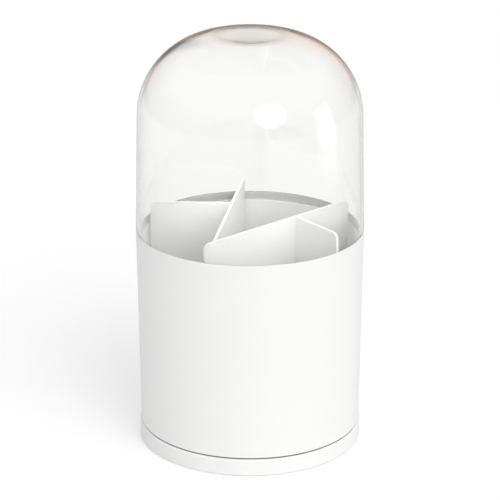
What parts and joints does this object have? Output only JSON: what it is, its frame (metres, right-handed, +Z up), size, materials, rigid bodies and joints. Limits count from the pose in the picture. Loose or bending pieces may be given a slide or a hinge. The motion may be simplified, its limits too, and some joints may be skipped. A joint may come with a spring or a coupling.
{
  "type": "rotating lidded brush organizer",
  "caption": "Round white tabletop organizer on a turning base, with a divided bucket and a tall clear dome lid.",
  "frame": {"origin": "centre of the base on the surface that it stands on", "axes": "+Z up along the turning axis, -Y towards the front, +X to the right as seen from the front"},
  "size_m": [0.13, 0.13, 0.2392],
  "materials": {
    "white_shell": "satin moulded",
    "clear_lid": "clear polished",
    "natural_plastic": "natural moulded",
    "steel": "bright",
    "pad_rubber": "soft matte"
  },
  "bodies": {
    "base": {"base_plate": "white_shell", "foot_pad_1": "pad_rubber", "foot_pad_2": "pad_rubber", "foot_pad_3": "pad_rubber", "foot_pad_4": "pad_rubber", "foot_pad_5": "pad_rubber", "foot_pad_6": "pad_rubber"},
    "ball_ring": {"ball_cage": "natural_plastic", "ball_1": "steel", "ball_2": "steel", "ball_3": "steel", "ball_4": "steel", "ball_5": "steel", "ball_6": "steel", "ball_7": "steel", "ball_8": "steel", "ball_9": "steel", "ball_10": "steel", "ball_11": "steel", "ball_12": "steel"},
    "turntable": {"bucket": "white_shell", "turntable_plate": "natural_plastic", "plate_screws": "steel", "pivot_screw": "steel", "pivot_washer": "steel"},
    "divider": {"divider_insert": "white_shell"},
    "lid": {"lid": "clear_lid"}
  },
  "joints": [
    {"name": "turntable_spin", "type": "hinge", "parent": "base", "child": "turntable", "pos_m": [0, 0, 0], "axis": [0, 0, 1], "continuous": true},
    {"name": "ball_ring_spin", "type": "hinge", "parent": "base", "child": "ball_ring", "pos_m": [0, 0, 0], "axis": [0, 0, 1], "continuous": true},
    {"name": "lid_lift", "type": "slide", "parent": "turntable", "child": "lid", "axis": [0, 0, 1], "range_m": [0, 0.15]},
    {"name": "divider_lift", "type": "slide", "parent": "turntable", "child": "divider", "axis": [0, 0, 1], "range_m": [0, 0.06]}
  ],
  "couplings": [
    {"joint": "ball_ring_spin", "follows": "turntable_spin", "ratio": 0.5}
  ]
}
